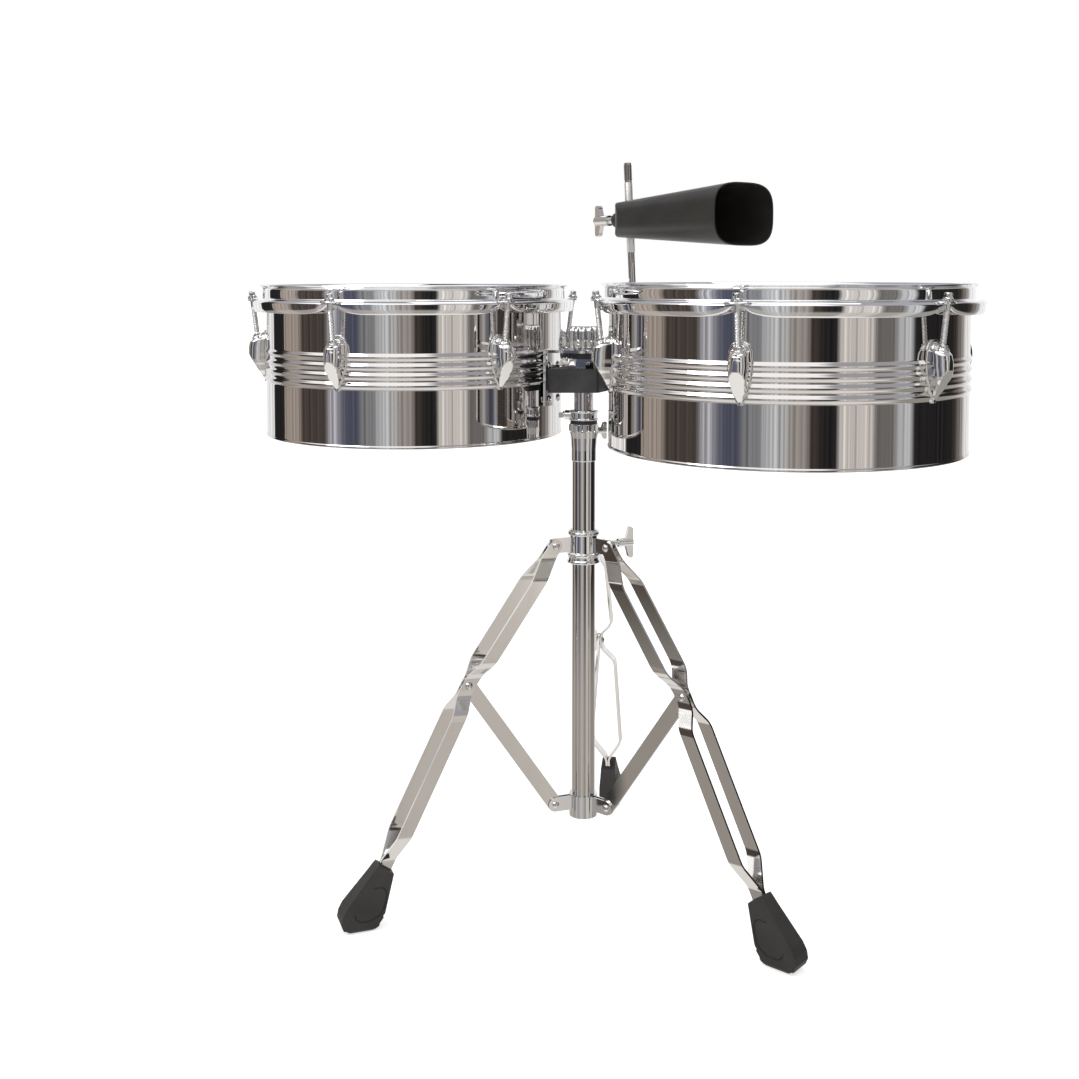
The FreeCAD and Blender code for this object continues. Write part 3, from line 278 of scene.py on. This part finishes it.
MATERIALS = {
    "shell_chrome": chrome("shell_chrome", (0.73, 0.71, 0.70), 0.02, 0.07),
    "hoop_chrome": chrome("hoop_chrome", (0.88, 0.88, 0.89), 0.02, 0.07),
    "lug_chrome": chrome("lug_chrome", (0.86, 0.855, 0.85), 0.03, 0.09, 0.05),
    "bracket_chrome": chrome("bracket_chrome", (0.84, 0.84, 0.85), 0.05, 0.14),
    "fastener_chrome": chrome("fastener_chrome", (0.78, 0.775, 0.77), 0.05, 0.14),
    "tube_chrome": chrome("tube_chrome", (0.76, 0.73, 0.71), 0.03, 0.09),
    "collar_chrome": chrome("collar_chrome", (0.86, 0.86, 0.87), 0.04, 0.12, 0.05),
    "knob_chrome": chrome("knob_chrome", (0.76, 0.755, 0.75), 0.05, 0.14, 0.08),
    "strip_chrome": chrome("strip_chrome", (0.74, 0.722, 0.70), 0.07, 0.16),
    "cast_chrome": chrome("cast_chrome", (0.86, 0.86, 0.86), 0.04, 0.11, 0.06),
    "cast_black": coated("cast_black", (0.022, 0.022, 0.024), (0.05, 0.05, 0.053), 0.5, 900, 0.0004),
    "bell_black": coated("bell_black", (0.019, 0.0175, 0.016), (0.030, 0.0275, 0.025), 0.34, 1500, 0.00015),
    "head_film": coated("head_film", (0.66, 0.65, 0.62), (0.72, 0.71, 0.69), 0.55, 1200, 0.0001),
    "black_plastic": coated("black_plastic", (0.018, 0.018, 0.019), (0.03, 0.03, 0.03), 0.45, 700, 0.0001),
    "boot_rubber": coated("boot_rubber", (0.019, 0.0175, 0.016), (0.031, 0.029, 0.027), 0.55, 800, 0.0002),
    "rod_satin": chrome("rod_satin", (0.90, 0.89, 0.87), 0.42, 0.52),
    "rod_knurl": coated("rod_knurl", (0.10, 0.095, 0.09), (0.16, 0.15, 0.145), 0.45, 1600, 0.0004, 0.8),
    # Near black, darker than the boots' rubber: painted shade for the groove of each boot's moulded
    # outline.
    "boot_groove_painted_shade": coated("boot_groove_painted_shade", (0.004, 0.004, 0.004), (0.008, 0.008, 0.008), 0.5, 800, 0.0001),
}


def dress_frame():
    """Give every CAD node the material of its slot."""
    slots = {part["node"]: part["material_slot"] for part in frame["record"]["subparts"]}
    for name, piece in NODES.items():
        piece.data.materials.clear()
        piece.data.materials.append(MATERIALS[slots[name]])


dress_frame()


# --- pieces drawn in more detail than the CAD ----------------------------------------------

# Sizes in millimetres. Each drum has its centre's x, its shell's radius and its lip's height. Reaches
# are measured out from the shell and drops down from the lip.
DRUMS = {"small": (-204.5, 165.1, 661.5), "large": (217.0, 177.8, 664.5)}
LUG_ANGLES = [math.radians(30 + 60 * step) for step in range(6)]
DRUM_FOOT = {"small": 496.0, "large": 499.0}


def loft(rings):
    """Skin a row of rings of points and close both ends; returns points and faces."""
    count = len(rings[0])
    points = [point for ring in rings for point in ring]
    faces = []
    for row in range(len(rings) - 1):
        for step in range(count):
            ahead = (step + 1) % count
            faces.append((row * count + step, row * count + ahead,
                          (row + 1) * count + ahead, (row + 1) * count + step))
    faces.append(tuple(range(count)))
    faces.append(tuple(range(len(points) - count, len(points))))
    return points, faces


def made(name, skins, body, slot, *nodes, crease=35.0, finish=None):
    """One object, in millimetres, out of several skins, riding a body in place of CAD nodes.

    Its material is its slot's, or another of MATERIALS named as finish."""
    cloth = bmesh.new()
    for points, faces in skins:
        corners = [cloth.verts.new(Vector(point) * MM) for point in points]
        for face in faces:
            cloth.faces.new([corners[index] for index in face])
    bmesh.ops.recalc_face_normals(cloth, faces=cloth.faces)
    mesh = bpy.data.meshes.new(name)
    cloth.to_mesh(mesh)
    cloth.free()
    for polygon in mesh.polygons:
        polygon.use_smooth = True
    mesh.set_sharp_from_angle(angle=math.radians(crease))
    mesh.materials.append(MATERIALS[finish or slot])
    piece = bpy.data.objects.new(name, mesh)
    bpy.context.collection.objects.link(piece)
    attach(piece, body)
    if nodes:
        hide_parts(*nodes)
    return piece


def along(origin, direction, steps, sides, turn=0.0):
    """Rings round a line: each step is a height and a radius, or a radius as a function of the angle."""
    axis = Vector(direction).normalized()
    across = axis.orthogonal().normalized()
    other = axis.cross(across)
    rings = []
    for height, radius in steps:
        ring = []
        for step in range(sides):
            angle = 2 * math.pi * step / sides + turn
            reach = radius(angle) if callable(radius) else radius
            ring.append(Vector(origin) + axis * height
                        + (across * math.cos(angle) + other * math.sin(angle)) * reach)
        rings.append(ring)
    return rings


def eased(stations, place):
    """Read a value off a list of (place, value), eased between entries."""
    for (low, first), (high, last) in zip(stations, stations[1:]):
        if place <= high:
            share = (place - low) / (high - low)
            share = share * share * (3 - 2 * share)
            return first + (last - first) * share
    return stations[-1][1]


LUG_TOP, LUG_HEIGHT, LUG_ROWS, LUG_SIDES = -51.8, 54.0, 54, 24
FACET_REACH, FACET_START, FACET_SLOPE = 19.3, 25.0, 0.61
POD_BACK = -0.8  # just inside the shell's wall
# A lug's half width and its reach, each by the drop from its top.
POD_WIDTH = [(0.0, 3.0), (3.0, 7.2), (9.0, 9.6), (20.0, 10.4), (30.0, 9.6), (41.0, 6.6), (50.0, 3.2),
             (54.0, 1.0)]
POD_DEPTH = [(0.0, 3.0), (2.5, 6.5), (6.5, 7.0), (8.5, 15.8), (12.0, 18.6), (18.0, 19.8), (30.0, 20.0),
             (44.0, 15.0), (54.0, 3.0)]
ROD_REACH, EAR_HEIGHT = 14.5, -18.5
ROD_INWARDS, ROD_DOWN = 4.0, 33.3  # a tension rod leans in by one over the other
# The turned ring at a lug's top, as (height along the rod from its ear, radius).
SWIVEL_RING = [(-49.0, 5.0), (-42.8, 5.4), (-41.6, 6.2), (-40.4, 6.4), (-39.4, 6.0), (-38.9, 5.0),
               (-38.2, 4.7), (-36.6, 4.5), (-36.2, 4.1), (-36.2, 3.2)]


def lug_skins(centre, edge, lip, angle):
    """A domed pod whose lower front is sliced by a slanted facet, its flange and the rod's ring."""
    outwards = Vector((math.cos(angle), math.sin(angle), 0))
    sideways = Vector((-math.sin(angle), math.cos(angle), 0))
    middle = Vector((centre, 0, lip))

    def spot(reach, side, height):
        return middle + outwards * (edge + reach) + sideways * side + Vector((0, 0, height))

    def dome(grow=0.0, shallow=0.0):
        """The pod, or its thin flange where shallow says how thick that is."""
        rings = []
        for row in range(LUG_ROWS + 1):
            drop = LUG_HEIGHT * row / LUG_ROWS
            slice_depth = FACET_REACH - max(0.0, drop - FACET_START) * FACET_SLOPE
            width = eased(POD_WIDTH, drop) + grow
            depth = eased(POD_DEPTH, drop)
            lift = grow * (1 - 2 * drop / LUG_HEIGHT)
            ring = []
            for step in range(LUG_SIDES + 1):
                share = math.pi * step / LUG_SIDES
                bulge = math.sin(share) ** 0.62
                reach = shallow * bulge if shallow else min(depth * bulge, max(slice_depth, 1.5))
                ring.append(spot(reach, width * math.cos(share), LUG_TOP - drop + lift))
            ring.append(spot(POD_BACK, -width * 0.6, LUG_TOP - drop))
            ring.append(spot(POD_BACK, width * 0.6, LUG_TOP - drop))
            rings.append(ring)
        return loft(rings)

    ear = spot(ROD_REACH, 0, EAR_HEIGHT)
    rod_way = Vector((ROD_INWARDS * outwards.x, ROD_INWARDS * outwards.y, ROD_DOWN)).normalized()
    return [dome(), dome(grow=1.6, shallow=2.4), loft(along(ear, rod_way, SWIVEL_RING, 24))]


def lathe(centre, lip, profile, segments):
    """Turn a closed (radius, height) profile about a drum's axis; it may be a function of the angle."""
    rows = []
    for step in range(segments):
        angle = 2 * math.pi * step / segments
        outline = profile(angle) if callable(profile) else profile
        rows.append([Vector((centre + radius * math.cos(angle), radius * math.sin(angle), lip + height))
                     for radius, height in outline])
    count = len(rows[0])
    points = [point for row in rows for point in row]
    faces = []
    for step in range(segments):
        ahead = (step + 1) % segments
        for index in range(count):
            following = (index + 1) % count
            faces.append((step * count + index, step * count + following,
                          ahead * count + following, ahead * count + index))
    return points, faces


SHELL_TOP, SHELL_GAUGE = -12.6, 1.2
BEADS_START, BEAD_PITCH, BEAD_COUNT, BEAD_STEPS = -67.55, 9.7, 4, 16
BEAD_SWELL = 0.9  # half of how proud a bead stands
BEAD_MARGIN = 0.35  # where the plain wall ends, beside the first and the last bead
SUPPORT = 1.0  # an extra ring this far from an edge keeps the flat wall's shading flat
ROLL_TOP = 3.2  # above the shell's foot
SHELL_SEGMENTS, HOOP_SEGMENTS = 192, 288


def wall_profile(edge, depth):
    """The shell's section: four rounded corrugations, a plain wall and a rolled foot."""
    inner = edge - SHELL_GAUGE
    above = BEADS_START + BEAD_MARGIN
    below = BEADS_START - BEAD_COUNT * BEAD_PITCH - BEAD_MARGIN
    outside = [(edge, SHELL_TOP), (edge, SHELL_TOP - SUPPORT), (edge, above + SUPPORT), (edge, above)]
    for step in range(BEAD_COUNT * BEAD_STEPS + 1):
        share = step / BEAD_STEPS
        swell = BEAD_SWELL * (1 - math.cos(2 * math.pi * share))
        outside.append((edge + swell, BEADS_START - BEAD_PITCH * share))
    outside += [(edge, below), (edge, below - SUPPORT), (edge, depth + ROLL_TOP + SUPPORT),
                (edge, depth + ROLL_TOP)]
    roll = [(edge + 0.55, depth + 2.6), (edge + 0.9, depth + 1.5), (edge + 0.55, depth + 0.4),
            (edge - 0.6, depth), (edge - 1.75, depth + 0.4), (edge - 2.1, depth + 1.5),
            (edge - 1.75, depth + 2.6), (inner, depth + ROLL_TOP)]
    inside = [(inner, depth + ROLL_TOP + SUPPORT), (inner, SHELL_TOP - SUPPORT), (inner, SHELL_TOP)]
    return outside + roll + inside


# The hoop's section but for its skirt, as (reach, height): lip, collar, flange and shoulder, and the
# underside of the flange.
HOOP_OUTSIDE = [(2.0, -17.5), (2.0, -4.0), (2.6, -2.2), (4.2, -0.6), (5.8, 0.0), (7.2, -0.2), (7.5, -0.9),
                (6.8, -1.5), (5.2, -2.4), (4.2, -4.2), (4.0, -5.2), (4.0, -13.6), (4.4, -14.8),
                (5.6, -15.5), (10.2, -15.5), (11.6, -15.8), (12.8, -16.5), (13.6, -17.6), (14.0, -18.9),
                (14.0, -19.5)]
HOOP_UNDERSIDE = [(12.0, -19.6), (11.0, -17.9), (9.6, -17.5)]
SKIRT_REACH, SKIRT_TOP, SKIRT_HEIGHT = 14.0, -20.0, 9.0
SCALLOP_START, SCALLOP_LENGTH = 6.0, 34.0  # along the rim, from the middle of an ear


def hoop_profile(edge):
    """The hoop's section as a function of the angle: its skirt rises to nothing at each ear."""
    def section(angle):
        nearest = min(abs((angle - lug + math.pi) % (2 * math.pi) - math.pi) for lug in LUG_ANGLES)
        distance = nearest * (edge + SKIRT_REACH)
        share = min(max((distance - SCALLOP_START) / SCALLOP_LENGTH, 0.0), 1.0)
        foot = SKIRT_TOP - SKIRT_HEIGHT * math.sqrt(1 - (1 - share) ** 2)
        skirt = [(13.7, (foot - 19.5) / 2), (12.9, foot + 0.4), (12.5, foot), (11.4, foot),
                 (11.0, foot + 0.4), (11.8, (foot - 19.6) / 2)]
        return [(edge + reach, height) for reach, height in HOOP_OUTSIDE + skirt + HOOP_UNDERSIDE]
    return section


EAR_ROOT, EAR_DEPTH, EAR_HALF_WIDTH = 11.0, 9.2, 13.0
EAR_TAIL, EAR_TAIL_HALF_WIDTH = 8.0, 12.0  # the end that runs into the flange
EAR_LAYERS = [(-17.8, 0.06), (-17.4, 0.0), (-16.0, 0.0), (-15.4, 0.06)]  # height, and how far drawn in


def ear_skin(centre, edge, lip, angle):
    """The lens-shaped tongue of the hoop that takes a tension rod."""
    outwards = Vector((math.cos(angle), math.sin(angle), 0))
    sideways = Vector((-math.sin(angle), math.cos(angle), 0))
    outline = []
    for step in range(21):
        share = math.pi * step / 20
        outline.append(outwards * (edge + EAR_ROOT + EAR_DEPTH * math.sin(share))
                       + sideways * EAR_HALF_WIDTH * math.cos(share))
    for side in (-1, 1):
        outline.append(outwards * (edge + EAR_TAIL) + sideways * EAR_TAIL_HALF_WIDTH * side)
    inner = outwards * (edge + EAR_ROOT)
    rings = []
    for height, shrink in EAR_LAYERS:
        level = Vector((centre, 0, lip + height))
        rings.append([level + point + (inner - point) * shrink for point in outline])
    return loft(rings)


def add_shells_and_hoops():
    """The two drums' shells, and their counter hoops with the ears."""
    for side, (centre, edge, lip) in DRUMS.items():
        depth = DRUM_FOOT[side] - lip
        wall = lathe(centre, lip, wall_profile(edge, depth), SHELL_SEGMENTS)
        made(side + "_shell_wall", [wall], side + "_drum", "shell_chrome", side + "_shell", crease=50.0)
        skins = [lathe(centre, lip, hoop_profile(edge), HOOP_SEGMENTS)]
        skins += [ear_skin(centre, edge, lip, angle) for angle in LUG_ANGLES]
        made(side + "_counter_hoop", skins, side + "_drum", "hoop_chrome", side + "_hoop", crease=50.0)


def add_lugs():
    """The six lugs of each drum, as one object a drum."""
    for side, (centre, edge, lip) in DRUMS.items():
        skins = [skin for angle in LUG_ANGLES for skin in lug_skins(centre, edge, lip, angle)]
        made(side + "_lug_pods", skins, side + "_drum", "lug_chrome", side + "_lugs", crease=28.0)


# A tension rod's profiles, as (height along the rod from its ear, radius).
THREAD_PITCH, THREAD_ROOT, THREAD_DEPTH = 1.0, 2.52, 0.46
THREAD_START, THREAD_ROWS, THREAD_STEP, THREAD_SIDES = -57.5, 190, 0.27, 12
ROD_SHANK = [(-6.0, 2.95), (3.7, 2.95)]
ROD_WASHER = [(3.75, 3.3), (3.75, 5.3), (3.95, 5.6), (4.8, 5.6), (5.0, 5.3), (5.0, 3.3)]
ROD_COLLAR = [(5.0, 2.9), (5.0, 4.4), (5.2, 4.7), (5.9, 4.7), (6.6, 4.1), (7.0, 3.4)]


def rod_skins(origin, axis):
    """A square-headed rod with a helical thread and its washer."""
    thread = []
    for row in range(THREAD_ROWS):
        height = THREAD_START + row * THREAD_STEP

        def groove(angle, height=height):
            phase = (height / THREAD_PITCH - angle / (2 * math.pi)) % 1.0
            return THREAD_ROOT + THREAD_DEPTH * (1 - abs(2 * phase - 1))
        thread.append((height, groove))

    def square(half, corner=0.8):
        def reach(angle):
            quarter = (angle + math.pi / 4) % (math.pi / 2) - math.pi / 4
            return min(half / math.cos(quarter), half * math.sqrt(2) - corner)
        return reach
    head = [(6.4, square(2.6)), (6.9, square(3.15)), (10.3, square(3.15)), (11.0, square(2.8)),
            (11.4, square(2.1))]
    skins = [loft(along(origin, axis, thread + ROD_SHANK, THREAD_SIDES))]
    return skins + [loft(along(origin, axis, steps, 24)) for steps in (ROD_WASHER, ROD_COLLAR, head)]


def add_rods():
    """The twelve tension rods, each on its own joint."""
    for joint in frame["record"]["behaviour"]["joints"]:
        body = joint["child"]
        if "_tension_rod_" in body:
            origin = Vector(joint["pos_m"]) / MM
            made(body + "_threaded", rod_skins(origin, joint["axis"]), body, "fastener_chrome", body)


LEG_TURNS = {"rear": 102.8, "left": 222.8, "right": 342.8}
BOOT_REACH = 248.0  # from the stand's axis to a boot's middle
BOOT_TAPER_START, BOOT_HALF_WIDTH, BOOT_TAPER = 20.0, 12.0, 3.4 / 36.0
MARK_RADIUS = 0.55
BOOT_MARK = [(-13.0, 43.0), (-22.0, 43.0), (-25.5, 40.0), (-26.5, 35.0), (-24.0, 25.0), (-19.0, 16.5),
             (-10.0, 11.5), (-1.0, 11.0), (5.0, 14.0), (7.0, 19.0)]


def smooth_path(corners, between):
    """Catmull-Rom points through a list of corners."""
    ends = [corners[0]] + list(corners) + [corners[-1]]
    path = []
    for before, start, stop, after in zip(ends, ends[1:], ends[2:], ends[3:]):
        for step in range(between):
            share = step / between
            path.append((start * 2 + (stop - before) * share
                         + (before * 2 - start * 5 + stop * 4 - after) * share ** 2
                         + (start * 3 - before - stop * 3 + after) * share ** 3) / 2)
    path.append(corners[-1])
    return path


def tube(path, radius, sides=8):
    """A round bead along a path."""
    rings = []
    for index, spot in enumerate(path):
        ahead = (path[min(index + 1, len(path) - 1)] - path[max(index - 1, 0)]).normalized()
        across = ahead.orthogonal().normalized()
        rings.append([spot + across * math.cos(2 * math.pi * step / sides) * radius
                      + ahead.cross(across) * math.sin(2 * math.pi * step / sides) * radius
                      for step in range(sides)])
    return loft(rings)


def add_boot_marks():
    """The moulded outline on both broad faces of each boot, as a thin raised bead coloured near black:
    painted shade standing in for the shadow in the outline's groove.
    """
    for leg, turn in LEG_TURNS.items():
        spin = Matrix.Rotation(math.radians(turn), 3, "Z")
        skins = []
        for side in (-1, 1):
            corners = []
            for reach, height in BOOT_MARK:
                half = BOOT_HALF_WIDTH - BOOT_TAPER * max(0.0, height - BOOT_TAPER_START)
                corners.append(spin @ Vector((BOOT_REACH + reach, side * half, height)))
            skins.append(tube(smooth_path(corners, 5), MARK_RADIUS))
        made(leg + "_boot_marks", skins, leg + "_leg", "boot_rubber", finish="boot_groove_painted_shade")


# Lengths of the L-rod, as (height from its tip, radius).
SATIN_SLEEVE = [(-89.0, 4.36), (-88.6, 4.5), (-11.9, 4.5), (-11.5, 4.36)]
KNURL_RADIUS, KNURL_DEPTH, KNURL_RIDGES = 4.22, 0.16, 18


def add_rod_lengths():
    """The satin length the bell is clamped on and the knurled tip of the L-rod."""
    joints = frame["record"]["behaviour"]["joints"]
    slide = next(joint for joint in joints if joint["name"] == "cowbell_slide")
    upright = Vector(slide["axis"])
    tip = Vector(frame["record"]["mounts"][-1]["pos_m"]) / MM
    made("rod_sleeve", [loft(along(tip, upright, SATIN_SLEEVE, 32))], "cowbell_rod", "tube_chrome",
         finish="rod_satin")

    def ridge(angle):
        return KNURL_RADIUS + KNURL_DEPTH * math.cos(KNURL_RIDGES * angle)

    knurl = [(-9.0, 4.2), (-8.6, ridge), (8.2, ridge), (9.0, 3.4)]
    made("rod_knurl", [loft(along(tip, upright, knurl, 90))], "cowbell_rod", "tube_chrome",
         finish="rod_knurl")


# Turned pieces of the stand, as (height, radius).
KNOB_LOBES, POINTS_PER_LOBE, FLUTE_DEPTH = 14, 14, 2.3
KNOB_STEPS = [(594.7, 17.4), (595.2, 18.8), (596.6, 19.6), (611.3, 19.6), (614.6, 19.0), (616.6, 17.4),
              (617.8, 14.0), (618.2, 9.0), (618.3, 3.0)]
COLLAR_RIMS = {
    "leg_collar": ([(362.9, 14.2), (362.9, 16.6), (363.4, 18.0), (364.6, 18.4), (366.0, 17.8),
                    (367.4, 16.9), (370.4, 16.9), (371.8, 17.8), (373.0, 18.1), (374.0, 17.4),
                    (374.6, 15.6), (374.6, 14.2)],
                   [(393.2, 14.0), (393.4, 16.4), (394.4, 17.5), (396.0, 17.6), (397.2, 16.9),
                    (398.2, 15.6), (398.6, 13.6)]),
    "top_post": ([(517.0, 12.0), (517.1, 15.4), (517.7, 16.2), (518.7, 16.3), (519.5, 15.7), (519.9, 14.6),
                  (519.9, 12.0)],
                 [(525.2, 12.0), (525.2, 14.6), (525.6, 15.7), (526.4, 16.3), (527.4, 16.2), (528.0, 15.4),
                  (528.1, 12.0)]),
}


def add_knob():
    """The fluted knob on the centre stud."""
    def fluted(radius):
        return lambda angle: radius - FLUTE_DEPTH * (0.5 + 0.5 * math.cos(KNOB_LOBES * angle)) ** 1.8

    steps = [(height, fluted(radius) if radius > 12 else radius) for height, radius in KNOB_STEPS]
    skin = loft(along((0, 0, 0), (0, 0, 1), steps, KNOB_LOBES * POINTS_PER_LOBE))
    made("clamp_knob_fluted", [skin], "clamp_knob", "knob_chrome", "clamp_knob", crease=50.0)


def add_collar_rims():
    """The rolled rims on the leg collar and the memory lock."""
    for body, rims in COLLAR_RIMS.items():
        skins = [loft(along((0, 0, 0), (0, 0, 1), rim, 64)) for rim in rims]
        made(body + "_rims", skins, body, "collar_chrome", crease=60.0)


add_shells_and_hoops()
add_lugs()
add_knob()
add_collar_rims()
add_rods()
add_boot_marks()
add_rod_lengths()
